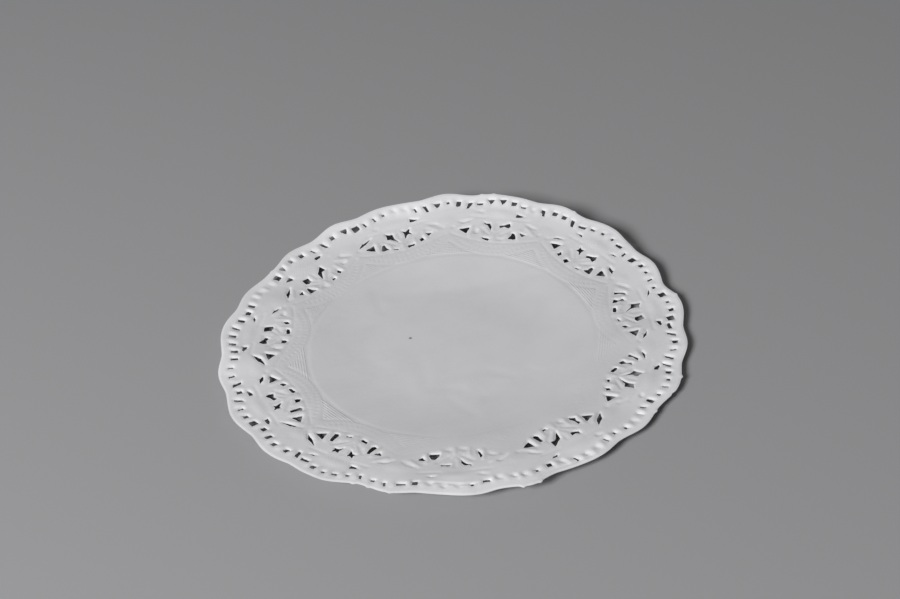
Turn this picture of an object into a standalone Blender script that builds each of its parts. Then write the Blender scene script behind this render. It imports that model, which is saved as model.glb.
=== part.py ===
"""A round paper lace doily: one sheet, die-cut and embossed, lying with its rim curled up.

The origin is under the middle of the sheet, +Z is up. Sizes are in millimetres until the
finished mesh is scaled to metres. A motif's own frame has x along the rim, clockwise seen
from above, and y outward from the doily's middle.
"""

from math import atan2, cos, exp, hypot, pi, radians, sin, sqrt, tau

import bmesh
import bpy
from mathutils import Vector
from mathutils.geometry import delaunay_2d_cdt

MM = 0.001
SHEET = 1.0  # thickness of the solid sheet

# Repeats
MOTIFS = 11
SCALLOPS = 2 * MOTIFS  # one over each motif and one over each gap between motifs
FIRST_MOTIF = radians(71.6)  # where motif 1 stands, anticlockwise from +X

# Outline
RIM_RADIUS = 82.5  # over a motif
GAP_CREST_DROP = 0.7  # how much further in the crest over a gap is
SCALLOP_DEPTH = 1.35
VALLEY_TIGHTNESS = 1.6  # over 2 would widen the valleys, under 2 widens the crests
VALLEY_SHIFT = 0.18  # widens the scallop over a motif, and narrows the one over a gap

# Broad swellings (over 0) and flattened places of the edge: motif, x, how far out, width
SWELLINGS = (
    (1, 1.0, -1.4, 8.0), (2, 6.0, -0.5, 4.0), (2, 20.0, 0.4, 5.0), (3, -10.0, -1.1, 4.5),
    (4, 8.0, -0.6, 5.0), (5, -13.0, -0.9, 11.0), (5, 3.0, -1.6, 9.0), (5, 22.0, 0.9, 4.0),
    (6, -9.5, 0.5, 5.0), (6, 3.5, -1.3, 8.0), (7, -17.0, -1.4, 8.5), (7, -7.0, -0.6, 7.0),
    (7, 3.0, -0.7, 5.0), (7, 16.5, 0.5, 4.5), (8, -22.0, 0.2, 8.0), (8, 6.0, -0.5, 7.0),
    (9, -7.0, -0.3, 6.0), (9, 7.0, 0.5, 6.0), (9, 18.0, 0.3, 8.0), (10, -5.0, -1.3, 6.0),
    (11, -22.0, 0.6, 6.0), (11, 3.5, -1.1, 9.0),
)

# Other radii
RING_RADIUS = 78.2  # middle of the slots over a motif
RING_DEPTH = 1.9  # how far the ring dips in under a valley
CIRCLE_RADIUS = 50.8  # embossed line round the plain middle
FLAT_RADIUS = 24.0  # the sheet lies flat inside this

# How far the sheet stands off the table
LACE_LIFT = 1.0  # the lace, above the middle
LACE_RAMP = (28.0, 60.0)  # the radii between which it gets there
CURL_RADIUS = 82.3  # where the lifts below are measured
RIM_LIFT = 1.1  # all round
FAR_LIFT = 5.8  # more, where the sheet curls up most
NEAR_LIFT = 2.4  # more, at the opposite side
CURL_DIRECTION = radians(80.0)  # of the side that curls up most, anticlockwise from +X
SWELL_HEIGHT = 0.8  # three low swells round the sheet
SWELL_DIRECTION = radians(47.0)

# The rim turns up a little more, outside this radius
TURN_RADIUS = 66.0
TURN_LIFT = 0.45
TURN_SWING = 0.85  # more at the far side, and down at the near side
TURN_SWELL = -0.6  # evens out the three swells

# The ring of slots, motif by motif: x of its first slot, the slots' pitch, how many
RING = (
    (-17.8, 4.30, 10), (-19.8, 4.45, 10), (-20.0, 4.55, 10), (-19.2, 4.08, 11),
    (-18.4, 4.50, 10), (-19.2, 4.60, 9), (-21.4, 4.35, 10), (-21.6, 4.65, 10),
    (-19.9, 4.50, 10), (-19.9, 4.98, 9), (-19.4, 4.20, 11),
)

# Slots (width, length) and the padded bars between them
CREST_SLOT = Vector((2.2, 2.0))
VALLEY_SLOT = Vector((1.7, 3.2))
BAR_LENGTH = 3.6
BAR_SHIFT = -0.4  # of a bar's middle from the slots' middles, outward
BAR_HEIGHT = 0.7

# Raised bead along the edge, halfway between it and the bead's foot
FOOT_INSET = 2.7
BEAD_HEIGHT = 0.6

# Swag under each motif: a raised crescent whose ends meet the next motif's. Each of its
# arcs has its end (x, y) right of the axis, and how far it hangs below that at the middle.
SWAG = {
    "upper": ((16.9, 60.2), 2.9, 0.0),
    "crest": ((16.7, 58.3), 4.5, 0.6),
    "lower": ((16.4, 56.2), 4.1, 0.0),
}  # end, drop, height

# Embossed line round the plain middle
CIRCLE_HEIGHT = 0.3
CIRCLE_HALF_WIDTH = 0.7

# How many straight steps each curve is cut into
RIM_STEPS = 6 * SCALLOPS
CIRCLE_STEPS = 4 * MOTIFS
MIDDLE_STEPS = 2 * MOTIFS
SWAG_STEPS = 8

# What the net of triangles is asked for
PLAIN_TRIANGLES = 0
SAME_PLACE = 1e-6

# Holes right of a motif's axis, each by its corners; the left side mirrors them
HOLES = {
    "eye": ((6.9, 71.7), (7.0, 73.1), (10.1, 72.4)),
    "star": (
        (1.5, 68.0), (3.0, 67.4), (4.6, 68.4), (4.0, 66.6),
        (4.8, 65.0), (3.2, 65.0), (1.5, 63.2), (2.2, 65.9),
    ),
    "slit": ((16.0, 63.8), (14.2, 66.4), (11.1, 67.8), (13.4, 65.6)),
    "triangle": ((10.7, 64.2), (13.6, 62.6), (11.1, 61.3)),
    "tall": ((6.9, 63.6), (7.8, 63.6), (8.5, 59.9), (6.4, 59.3)),
    "foot": ((1.3, 59.3), (3.9, 59.8), (3.7, 58.5), (1.4, 57.9)),
}

# Raised forms right of the axis: the two ends of each one's ridge, and its height
RIDGES = {
    "lens": ((0.0, 73.1), (3.4, 72.7), 0.7),
    "petal": ((0.0, 68.4), (0.0, 64.0), 0.6),
    "leaf": ((5.7, 64.4), (2.9, 62.0), 0.6),
    "bar_middle": ((0.0, 60.2), (0.0, 58.0), 0.5),
    "bar_inner": ((5.3, 61.6), (4.9, 58.9), 0.5),
    "bar_outer": ((9.4, 63.6), (9.8, 60.6), 0.5),
    "bar_last": ((14.0, 64.0), (11.4, 65.9), 0.5),
}
LENS_EDGE = ((0.0, 75.0), (3.2, 74.5), (6.1, 72.5), (3.4, 70.6), (0.0, 70.0))
GAP_RIDGE = ((0.0, 70.2), (0.0, 66.4), 0.4)  # raised kite in the gap between two motifs
GAP_EDGE = ((0.0, 72.4), (4.0, 68.6), (0.0, 64.2))


def scallop(angle):
    """1 at a crest and 0 at a valley, for an angle measured from a motif's axis."""
    turned = MOTIFS * angle
    return abs(cos(turned - VALLEY_SHIFT * sin(turned))) ** VALLEY_TIGHTNESS


def drawn_in(angle, depth):
    """How much further in than over a motif's axis a scalloped line runs."""
    over_gap = (1 - cos(MOTIFS * angle)) / 2
    return depth * (1 - scallop(angle)) + GAP_CREST_DROP * over_gap


def even_rim(angle):
    return RIM_RADIUS - drawn_in(angle, SCALLOP_DEPTH)


def rim_radius(angle):
    """The edge itself, with its swellings."""
    radius = even_rim(angle)
    for motif, x, out, width in SWELLINGS:
        away = (angle - (motif - 1) * tau / MOTIFS - x / radius + pi) % tau - pi
        radius += out * exp(-((away * radius / width) ** 2))
    return radius


def bead_foot(angle):
    return even_rim(angle) - FOOT_INSET


def ring_radius(angle):
    return RING_RADIUS - drawn_in(angle, RING_DEPTH)


def rise(distance, height):
    """Height of a curl that starts at FLAT_RADIUS and reaches its full height at the rim."""
    part = max(0.0, distance - FLAT_RADIUS) / (CURL_RADIUS - FLAT_RADIUS)
    return height * part * part


def lace_lift(radius):
    start, end = LACE_RAMP
    part = min(1.0, max(0.0, (radius - start) / (end - start)))
    return LACE_LIFT * part * part * (3 - 2 * part)


def curl(point):
    """How far the sheet stands off the table at a point."""
    radius = hypot(point.x, point.y)
    angle = atan2(point.y, point.x)
    along = point.x * cos(CURL_DIRECTION) + point.y * sin(CURL_DIRECTION)
    swell = cos(3 * (angle - SWELL_DIRECTION))
    bowl = rise(radius, RIM_LIFT + SWELL_HEIGHT * swell)
    ends = rise(along, FAR_LIFT) + rise(-along, NEAR_LIFT)
    turned = max(0.0, radius - TURN_RADIUS) / (CURL_RADIUS - TURN_RADIUS)
    turn = TURN_LIFT + TURN_SWING * sin(angle) + TURN_SWELL * swell
    return lace_lift(radius) + bowl + ends + turn * turned * turned


def on_circle(radius, angle):
    """A point at this radius, with the angle measured clockwise from motif 1."""
    turned = FIRST_MOTIF - angle
    return Vector((radius * cos(turned), radius * sin(turned)))


def from_frame(corner, angle, side=1):
    """A point of a motif's own frame, mirrored to the left where side is -1."""
    out = on_circle(1.0, angle)
    along = Vector((out.y, -out.x))
    return along * corner[0] * side + out * corner[1]


class Pattern:
    """The points, lines and holes of the flat sheet, and how far each point is raised."""

    def __init__(self):
        self.points = []
        self.heights = []
        self.lines = []
        self.loops = []

    def point(self, place, height=0.0):
        self.points.append(place)
        self.heights.append(height)
        return len(self.points) - 1

    def line(self, places, height=0.0, closed=False):
        made = [self.point(place, height) for place in places]
        self.lines += list(zip(made, made[1:]))
        if closed:
            self.lines.append((made[-1], made[0]))
        return made

    def loop(self, places):
        """A closed outline: the first is the sheet's edge, and each later one a hole."""
        if sum(a.cross(b) for a, b in zip(places, places[1:] + places[:1])) < 0:
            places = places[::-1]  # the net wants each one anticlockwise
        self.loops.append([self.point(place) for place in places])

    def ring(self, radius_at, steps, height=0.0):
        angles = [tau * i / steps for i in range(steps)]
        self.line([on_circle(radius_at(a), a) for a in angles], height, closed=True)


def add_rim(pattern):
    angles = [tau * i / RIM_STEPS for i in range(RIM_STEPS)]
    pattern.loop([on_circle(rim_radius(a), a) for a in angles])
    pattern.ring(lambda a: (rim_radius(a) + bead_foot(a)) / 2, RIM_STEPS, BEAD_HEIGHT)
    pattern.ring(bead_foot, RIM_STEPS)


def slot_angles():
    return [
        tau * motif / MOTIFS + (first + place * pitch) / RING_RADIUS
        for motif, (first, pitch, count) in enumerate(RING)
        for place in range(count)
    ]


def add_slots(pattern):
    for angle in slot_angles():
        middle = ring_radius(angle)
        size = VALLEY_SLOT.lerp(CREST_SLOT, scallop(angle))
        corners = [
            (x * size.x / 2, middle + y * size.y / 2)
            for x, y in ((-1, -1), (1, -1), (1, 1), (-1, 1))
        ]
        pattern.loop([from_frame(corner, angle) for corner in corners])


def add_bars(pattern):
    slots = slot_angles()
    for before, after in zip(slots, slots[1:] + [slots[0] + tau]):
        angle = (before + after) / 2
        middle = ring_radius(angle) + BAR_SHIFT
        ends = [on_circle(middle + y * BAR_LENGTH / 2, angle) for y in (-1, 1)]
        pattern.line(ends, BAR_HEIGHT)


def swag_arc(end, drop):
    """Points of an arc between an end and its mirror image, in a motif's frame."""
    reach, level = end
    radius = (reach**2 + drop**2) / (2 * drop)
    middle = level - drop + radius
    xs = [reach * (2 * i / SWAG_STEPS - 1) for i in range(1, SWAG_STEPS)]
    return [Vector((x, middle - sqrt(radius**2 - x**2))) for x in xs]


def add_swag(pattern, angle):
    for end, drop, height in SWAG.values():
        pattern.line([from_frame(place, angle) for place in swag_arc(end, drop)], height)


def add_ridge(pattern, angle, start, end, height):
    """A ridge and its mirror image, or one alone where it lies on the motif's axis."""
    on_axis = start[0] == end[0] == 0.0
    across = start[0] == 0.0 and not on_axis
    if across:
        places = [from_frame(end, angle, -1), from_frame(start, angle), from_frame(end, angle)]
        pattern.line(places, height)
        return
    for side in (1,) if on_axis else (1, -1):
        pattern.line([from_frame(start, angle, side), from_frame(end, angle, side)], height)


def mirrored(edge):
    """A closed outline from its right half, whose first and last points are on the axis."""
    return list(edge) + [(-x, y) for x, y in reversed(edge[1:-1])]


def add_motif(pattern, angle):
    for corners in HOLES.values():
        for side in (1, -1):
            pattern.loop([from_frame(corner, angle, side) for corner in corners])
    for start, end, height in RIDGES.values():
        add_ridge(pattern, angle, start, end, height)
    pattern.line([from_frame(c, angle) for c in mirrored(LENS_EDGE)], closed=True)
    add_swag(pattern, angle)


def add_gap(pattern, angle):
    add_ridge(pattern, angle, *GAP_RIDGE)
    pattern.line([from_frame(c, angle) for c in mirrored(GAP_EDGE)], closed=True)


def add_middle(pattern):
    """The plain middle: an embossed circle, and rings of points that follow the curl."""
    for offset in (-1, 0, 1):
        height = 0.0 if offset else CIRCLE_HEIGHT
        radius = CIRCLE_RADIUS + offset * CIRCLE_HALF_WIDTH
        pattern.ring(lambda a: radius, CIRCLE_STEPS, height)
    for radius in (FLAT_RADIUS, (FLAT_RADIUS + CIRCLE_RADIUS) / 2):
        pattern.ring(lambda a: radius, MIDDLE_STEPS)


def chart():
    pattern = Pattern()
    add_rim(pattern)
    add_slots(pattern)
    add_bars(pattern)
    for k in range(MOTIFS):
        add_motif(pattern, tau * k / MOTIFS)
        add_gap(pattern, tau * (k + 0.5) / MOTIFS)
    add_middle(pattern)
    return pattern


def sheet_mesh(pattern):
    """The pattern as one closed sheet: its flat net of triangles, raised and thickened."""
    points, _, faces, from_points, _, from_loops = delaunay_2d_cdt(
        pattern.points, pattern.lines, pattern.loops, PLAIN_TRIANGLES, SAME_PLACE
    )
    bm = bmesh.new()
    for place, sources in zip(points, from_points):
        bm.verts.new((place.x, place.y, curl(place) + pattern.heights[sources[0]]))
    bm.verts.ensure_lookup_table()
    for face, loops in zip(faces, from_loops):
        if loops == [0]:  # inside the edge and in no hole
            bm.faces.new([bm.verts[i] for i in face])
    loose = [v for v in bm.verts if not v.link_faces]
    bmesh.ops.delete(bm, geom=loose, context="VERTS")
    grown = bmesh.ops.extrude_face_region(bm, geom=bm.faces[:])["geom"]
    top = [item for item in grown if isinstance(item, bmesh.types.BMVert)]
    bmesh.ops.translate(bm, verts=top, vec=(0, 0, SHEET))
    bmesh.ops.recalc_face_normals(bm, faces=bm.faces[:])
    bmesh.ops.scale(bm, verts=bm.verts[:], vec=(MM, MM, MM))
    mesh = bpy.data.meshes.new("doily")
    bm.to_mesh(mesh)
    bm.free()
    return mesh


def paper():
    material = bpy.data.materials.new("white_paper")
    material.use_nodes = True
    shader = material.node_tree.nodes["Principled BSDF"]
    shader.inputs["Base Color"].default_value = (0.80, 0.80, 0.79, 1)
    shader.inputs["Roughness"].default_value = 0.75
    return material


def main():
    for item in list(bpy.data.objects):
        bpy.data.objects.remove(item)
    doily = bpy.data.objects.new("doily", sheet_mesh(chart()))
    doily.data.materials.append(paper())
    bpy.context.collection.objects.link(doily)


main()
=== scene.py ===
"""The looks of a round paper lace doily: one thin sheet, die-cut and embossed, on a pale floor.

The sheet is built in millimetres and then scaled to metres. A motif's own frame has x along
the rim, clockwise seen from above, and y outward from the doily's middle. A gap's own frame is
the same, half a repeat further round. Each point's place in both is stored for the materials.
"""

from math import cos, pi, radians, sin, tau
from random import Random

import bmesh
import bpy
import numpy as np
from mathutils import Matrix, Vector


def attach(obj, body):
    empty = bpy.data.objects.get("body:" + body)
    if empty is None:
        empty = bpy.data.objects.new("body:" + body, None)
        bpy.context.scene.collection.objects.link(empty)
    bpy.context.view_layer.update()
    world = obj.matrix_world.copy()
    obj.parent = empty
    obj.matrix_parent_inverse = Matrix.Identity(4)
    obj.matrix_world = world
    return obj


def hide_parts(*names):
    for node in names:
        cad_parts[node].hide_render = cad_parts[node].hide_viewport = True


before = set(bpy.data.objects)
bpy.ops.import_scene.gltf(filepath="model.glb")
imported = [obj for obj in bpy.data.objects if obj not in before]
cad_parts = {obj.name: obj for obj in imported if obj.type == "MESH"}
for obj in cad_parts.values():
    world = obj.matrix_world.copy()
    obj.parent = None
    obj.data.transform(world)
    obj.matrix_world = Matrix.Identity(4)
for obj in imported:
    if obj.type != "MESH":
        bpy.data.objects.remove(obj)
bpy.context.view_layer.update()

MM = 0.001
PAPER = 0.15  # thickness of the sheet
SEEDS = {"holes": 11, "cuts": 5, "lips": 8, "bars": 21, "waves": 3}

# Repeats
MOTIFS = 11
REPEAT = tau / MOTIFS
FIRST_MOTIF = radians(71.6)  # where motif 1 stands, anticlockwise from +X

# Outline
RIM_RADIUS = 82.5  # over a motif
GAP_CREST_DROP = 0.7  # how much further in the crest over a gap is
SCALLOP_DEPTH = 1.35
VALLEY_TIGHTNESS = 1.6
VALLEY_SHIFT = 0.18  # widens the scallop over a motif, and narrows the one over a gap
NICK_WIDTH = 0.7

# Curl, the same as the solid's
CURL_RADIUS = 82.3
FLAT_RADIUS = 24.0
RIM_LIFT = 1.1
FAR_LIFT = 5.8
NEAR_LIFT = 2.4
CURL_DIRECTION = radians(80.0)
SWELL_COUNT = 3  # low swells round the sheet
SWELL_HEIGHT = 0.8
SWELL_DIRECTION = radians(47.0)
TURN_RADIUS = 66.0  # where the rim starts to turn
TURN_LIFT = 0.45
TURN_SWING = 0.85  # more at the far side, down at the near side
TURN_SWELL = -0.6

# Middle of the ring of slots
RING_RADIUS = 78.2
RING_DEPTH = 1.9

# The net of the sheet, outermost band first, whose outer side is the rim
RIM_BAND = {"inner": 60.0, "columns": 68 * MOTIFS, "rows": 40}
INNER_BAND = {"inner": 49.0, "outer": 59.3, "columns": 44 * MOTIFS, "rows": 16}
MIDDLE = {"inner": 1.5, "outer": 48.0, "columns": 18 * MOTIFS, "rows": 24}
SAME_PLACE = 0.01  # net points nearer to each other than this are one
SAME_RING = 0.3  # how far from a ring's radius its edges may stand
SHARP_ANGLE = radians(62.0)  # edges between faces that turn more than this are left sharp
UPRIGHT = 0.5  # a face's normal rises less than this on the cut edges

# The sheet's materials, by their places: its face is 0
BACK = 1
CUT_EDGE = 2

MARKED = "x"  # the form of a hole that the press only marked and didn't cut

# Ways that the press leaves a slot, by its corners about its middle: x along, y outward
SLOT_FORMS = {
    "s": ((-0.6, 0.5), (0.5, 0.7), (0.6, -0.5), (-0.5, -0.6)),  # small
    "b": ((-0.8, 0.9), (0.9, 0.9), (0.9, -0.7), (-0.7, -0.9)),  # block
    "B": ((-1.2, 1.1), (1.1, 1.4), (1.3, -0.8), (-0.9, -1.3)),  # big block
    "d": ((-1.1, 0.5), (1.0, 0.5), (0.9, -0.5), (-0.9, -0.6)),  # dash
    "D": ((-1.5, 0.3), (1.2, 0.8), (1.4, -0.5), (-1.2, -0.7)),  # long dash
    "t": ((-0.7, 1.2), (0.8, 1.2), (0.7, -1.1), (-0.7, -1.2)),  # tall
    "l": ((-1.3, 1.4), (0.2, 1.3), (1.1, -1.5), (0.0, -1.4)),  # tall, its top to the left
    "r": ((-0.2, 1.3), (1.2, 1.4), (0.1, -1.3), (-1.0, -1.5)),  # tall, its top to the right
    "w": ((-1.3, 0.9), (1.2, 1.1), (0.7, -0.5), (0.0, -1.3), (-0.7, -0.2)),  # wedge
    "g": ((-0.7, 0.9), (0.1, 1.0), (0.6, -0.8), (-0.1, -1.0)),  # all but shut
    "x": ((-0.6, 1.2), (0.4, 1.3), (0.6, -1.0), (-0.4, -1.2)),  # only marked
}

# The ring, motif by motif: x of its first slot, the slots' pitch, their forms left to right
RING = (
    (-17.8, 4.30, "trdwwbdxlb"),
    (-19.8, 4.45, "blDdssDgBb"),
    (-20.0, 4.55, "sgsBsbBDrb"),
    (-19.2, 4.08, "grrbsgstggx"),
    (-18.4, 4.50, "ssgxxgxbsx"),
    (-19.2, 4.60, "xxdsxxxbD"),
    (-21.4, 4.35, "gsgsdsbDlb"),
    (-21.6, 4.65, "btbBbgrblg"),
    (-19.9, 4.50, "gttttrtbtx"),
    (-19.9, 4.98, "xxBwbbglb"),
    (-19.4, 4.20, "wBggsxxglws"),
)

# Ways that the press leaves each larger hole, right of a motif's axis
HOLES = {
    "eye": {
        "o": ((7.1, 71.7), (7.4, 73.0), (9.5, 72.9), (10.1, 72.4), (8.7, 71.7)),
        "s": ((6.1, 71.2), (6.3, 73.0), (7.8, 72.4), (9.2, 71.9), (7.6, 71.2)),
        "t": ((6.8, 72.0), (8.2, 73.0), (10.3, 73.3), (8.6, 72.4)),
        "g": ((7.2, 72.0), (8.0, 72.9), (9.8, 72.7), (8.6, 72.1)),
        "x": ((6.8, 71.9), (7.2, 72.7), (10.0, 72.5), (8.6, 71.9)),
    },
    "star": {
        "a": (
            (1.8, 68.2), (3.1, 67.4), (4.8, 68.4), (4.2, 66.7),
            (4.8, 65.0), (3.3, 65.6), (1.9, 63.6), (2.3, 66.2),
        ),
        "t": (
            (2.1, 67.7), (2.9, 67.7), (4.5, 68.5), (4.4, 67.0),
            (4.7, 65.4), (3.1, 65.1), (0.9, 62.6), (2.3, 65.5),
        ),
        "q": ((2.1, 67.5), (4.6, 67.9), (5.3, 65.2), (4.2, 64.7), (2.7, 65.3), (2.6, 66.4)),
        "w": (
            (1.0, 66.5), (1.5, 65.2), (2.9, 65.9), (4.6, 65.2), (4.9, 66.6), (4.2, 68.1), (3.0, 67.2),
        ),
        "h": (
            (5.2, 67.6), (4.9, 66.6), (3.6, 66.1), (2.1, 63.8), (2.2, 65.8), (3.1, 67.2), (4.3, 67.0),
        ),
        "n": (
            (1.8, 67.7), (2.9, 67.4), (4.0, 68.1), (3.7, 66.9),
            (4.0, 65.9), (2.8, 65.9), (1.4, 64.7), (2.0, 66.5),
        ),
        "k": ((5.1, 68.3), (5.2, 65.5), (3.5, 65.8), (0.9, 62.6), (1.7, 65.8), (3.8, 67.3)),
        "d": ((2.3, 67.4), (3.6, 67.2), (5.0, 68.1), (5.1, 66.7), (3.7, 65.9), (2.5, 65.8)),
        "m": ((1.6, 66.0), (2.0, 66.9), (4.6, 66.6), (4.4, 65.8)),
        "x": (
            (1.9, 67.4), (3.0, 67.0), (4.4, 67.6), (4.0, 66.6),
            (4.3, 65.6), (3.1, 65.7), (1.9, 64.6), (2.4, 66.1),
        ),
    },
    "slit": {
        "w": ((16.4, 63.5), (15.3, 66.0), (12.3, 68.2), (13.5, 65.5)),
        "t": ((15.9, 64.3), (14.4, 66.6), (10.8, 68.4), (13.3, 66.0)),
        "s": ((14.8, 65.1), (13.9, 66.7), (11.5, 67.5), (12.8, 65.8)),
        "g": ((15.4, 64.7), (14.3, 66.1), (12.0, 66.9), (13.3, 65.7)),
        "x": ((16.3, 63.8), (14.6, 66.3), (11.0, 68.0), (13.6, 65.8)),
    },
    "triangle": {
        "b": ((10.4, 64.4), (13.9, 62.7), (10.8, 60.9)),
        "s": ((9.5, 63.4), (11.9, 62.7), (10.5, 61.3)),
        "t": ((10.1, 64.8), (11.5, 64.6), (12.5, 61.4), (11.2, 61.0), (11.2, 62.8)),
        "x": ((10.4, 63.9), (13.2, 62.6), (11.0, 61.5)),
    },
    "tall": {
        "b": ((6.5, 63.0), (7.4, 62.9), (8.5, 60.0), (7.0, 59.8), (5.5, 60.0), (6.3, 61.4)),
        "l": (
            (7.3, 63.7), (8.5, 63.1), (7.9, 61.7), (8.6, 60.4), (6.8, 59.2), (6.6, 60.6), (7.3, 61.8),
        ),
        "t": ((6.8, 63.5), (7.8, 63.5), (8.3, 60.0), (7.3, 59.6), (6.6, 60.2)),
        "s": ((6.6, 60.6), (7.9, 61.7), (8.3, 60.2), (7.0, 59.4)),
        "p": ((5.2, 61.4), (6.2, 62.8), (7.6, 62.6), (8.2, 60.9), (7.9, 60.0), (5.0, 60.1)),
        "n": ((8.2, 63.6), (8.9, 62.8), (8.4, 61.0), (7.5, 59.7), (7.7, 61.4)),
        "x": ((6.9, 63.2), (7.7, 63.2), (8.2, 60.2), (6.7, 59.8)),
    },
    "foot": {
        "d": ((1.5, 59.2), (2.6, 59.6), (4.1, 59.7), (4.0, 58.8), (2.8, 58.4), (1.7, 58.1)),
        "b": ((1.9, 60.0), (3.7, 60.3), (4.0, 59.0), (2.6, 58.2), (2.1, 58.9)),
        "g": ((2.2, 59.2), (3.9, 59.7), (3.8, 58.9), (2.5, 58.5)),
        "x": ((1.4, 59.1), (3.8, 59.5), (3.7, 58.6), (1.5, 58.1)),
    },
}

HOLE_GROWTH = 1.12  # the punch tears them a little wider
SLOT_WANDER = 0.2  # how far the slots stray from their places
SLOT_STRETCH = (0.9, 1.1)  # the least and most share of a slot's drawn width
EDGE_CUTS = 2  # new points on each side of an outline
FEW_CORNERS = 5  # an outline with no more corners gets one more on each side
CORNER_ROUNDING = 0.2  # how far each corner goes to the middle of its neighbours
RAGGEDNESS = 0.09  # how far each point of a cut strays
PUNCH_REACH = 1.0  # how far the punches pass the sheet, either side

# Each motif's holes, left side and right side, in the order of HOLES
CHART = (
    ("xhxbxd", "swxsbx"),
    ("gngbsb", "gwsbbg"),
    ("ttxtld", "oqgbsg"),
    ("otgtld", "xtxbsg"),
    ("xdwblx", "gkxbtg"),
    ("xhxxnx", "xmxspx"),
    ("snxstd", "gntbtg"),
    ("ontbtb", "owsbsd"),
    ("owwbxb", "gqgxsd"),
    ("sqtsbx", "okxxsg"),
    ("xttbbg", "saxssd"),
)

# Small bumps (over 0) and nicks of the cut edge: motif, x in its frame, how far out
NICKS = (
    (1, -9.5, 0.35), (1, -5.0, 0.3), (2, -18.3, 0.35), (3, -4.7, 0.5), (4, -5.7, 0.6),
    (4, 3.4, -0.4), (4, 14.0, 0.5), (5, 19.5, 0.75), (6, -21.3, 0.8), (6, 21.3, 0.4),
    (7, -17.3, 0.5), (7, -12.0, 0.5), (10, -8.5, 0.3),
)

# Broad swellings (over 0) and flattened places of the edge: motif, x, how far out, width
SWELLINGS = (
    (1, 1.0, -1.4, 8.0), (2, 6.0, -0.5, 4.0), (2, 20.0, 0.4, 5.0), (3, -10.0, -1.1, 4.5),
    (4, 8.0, -0.6, 5.0), (5, -13.0, -0.9, 11.0), (5, 3.0, -1.6, 9.0), (5, 22.0, 0.9, 4.0),
    (6, -9.5, 0.5, 5.0), (6, 3.5, -1.3, 8.0), (7, -17.0, -1.4, 8.5), (7, -7.0, -0.6, 7.0),
    (7, 3.0, -0.7, 5.0), (7, 16.5, 0.5, 4.5), (8, -22.0, 0.2, 8.0), (8, 6.0, -0.5, 7.0),
    (9, -7.0, -0.3, 6.0), (9, 7.0, 0.5, 6.0), (9, 18.0, 0.3, 8.0), (10, -5.0, -1.3, 6.0),
    (11, -22.0, 0.6, 6.0), (11, 3.5, -1.1, 9.0),
)

# Where the edge is turned down: motif, x, reach either side, width of the turned strip, drop
TURNED = (
    (6, 0.0, 16.0, 5.0, 0.4),
    (5, 5.0, 24.0, 1.7, 0.3),
)
TURN_LINE = (0.6, 0.28)  # the bent line along it: half-width, depth

# Soft old creases pressed into the middle: both ends from above, depth, half-width
FOLDS = (
    ((-22.0, 31.3), (5.0, 31.8), 0.10, 4.0),
    ((5.0, 31.8), (34.0, 34.5), 0.10, 4.0),
    ((-26.5, 35.0), (-24.0, 22.0), 0.10, 2.6),
    ((-11.5, -8.0), (-9.4, -22.7), 0.07, 3.0),
    ((-9.4, -22.7), (1.4, -24.7), 0.13, 3.2),
    ((-5.0, -19.2), (11.0, -16.3), 0.10, 2.8),
    ((11.0, -16.3), (25.0, -22.0), 0.07, 2.8),
    ((10.0, -30.3), (26.5, -18.1), 0.13, 3.0),
    ((-30.3, -3.3), (-19.4, -14.8), 0.04, 2.6),
    ((-3.0, -29.0), (6.0, -40.5), 0.08, 2.4),
)
BED = 0.15  # the middle lies this far off the floor, but for its creases
BED_EDGE = (30.0, 50.0)  # the radii between which that fades away

# Handling has rubbed the fine work away, most towards this side
WORN_DIRECTION = radians(-60.0)
WORN_SHARE = 0.8
WORN_REACH = (5.0, 45.0)  # how far out that way it starts, and is full

# Pressed lines right of a motif's axis: both ends, depth, half-width
CREASES = (
    ((0.0, 67.6), (0.0, 64.4), 0.16, 0.9),  # petal
    ((5.9, 64.6), (2.3, 61.6), 0.22, 0.8),  # leaf
    ((1.2, 62.6), (3.0, 65.0), 0.16, 0.7),  # twig
    ((5.0, 70.0), (11.4, 69.6), 0.12, 0.9),  # brow
    ((16.4, 63.4), (16.7, 63.2), 0.20, 0.9),  # seed
)

# Padded bars between a motif's inner holes, right of its axis: both ends, height, half-width
INNER_BARS = (
    ((0.0, 60.6), (0.0, 57.8), 0.19, 0.95),
    ((4.9, 61.8), (4.5, 58.4), 0.19, 0.95),
    ((9.2, 64.4), (9.3, 60.0), 0.19, 0.95),
    ((14.4, 63.0), (11.6, 66.0), 0.19, 0.95),
)

# Fields of fine relief: the frame they belong to, their middle and half-sizes
LENS_MIDDLE = (0.0, 72.4)
LENS_HALF = (6.4, 2.6)
KITE_MIDDLE = (0.0, 68.3)
KITE_HALF = (4.2, 3.0)
LENS_RISE = 0.18  # how far the press domes them
KITE_RISE = 0.12
FIELD_FULL = 0.8  # the share of a field's size within which its netting is full
FAN_TOP = 57.4  # a triangle of hatching in each gap, on the inner circle
FAN_BOTTOM = 51.2
FAN_HALF_WIDTH = 9.6  # at its bottom
FAN_FADE = (0.5, 0.4)  # over this much of its sides, and of its bottom
NET_PITCH = 0.85
NET_TURN = radians(45.0)
NET_DOT = (0.48, 0.15)  # how far from its middle a dot starts and is full, in pitches
HATCH_PITCH = 0.9
HATCH_DOTS = 0.25  # how deep the dots cut into the hatching's lines

# Shares of the relief's depth
NET_SHARE = 0.16
HATCH_SHARE = 0.6
BOLD_SHARE = 0.3  # the lips of the holes and the rolled edge
SWAG_SHARE = 0.24
ARC_SHARE = 0.6  # of the swag's share, for its lines

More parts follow.
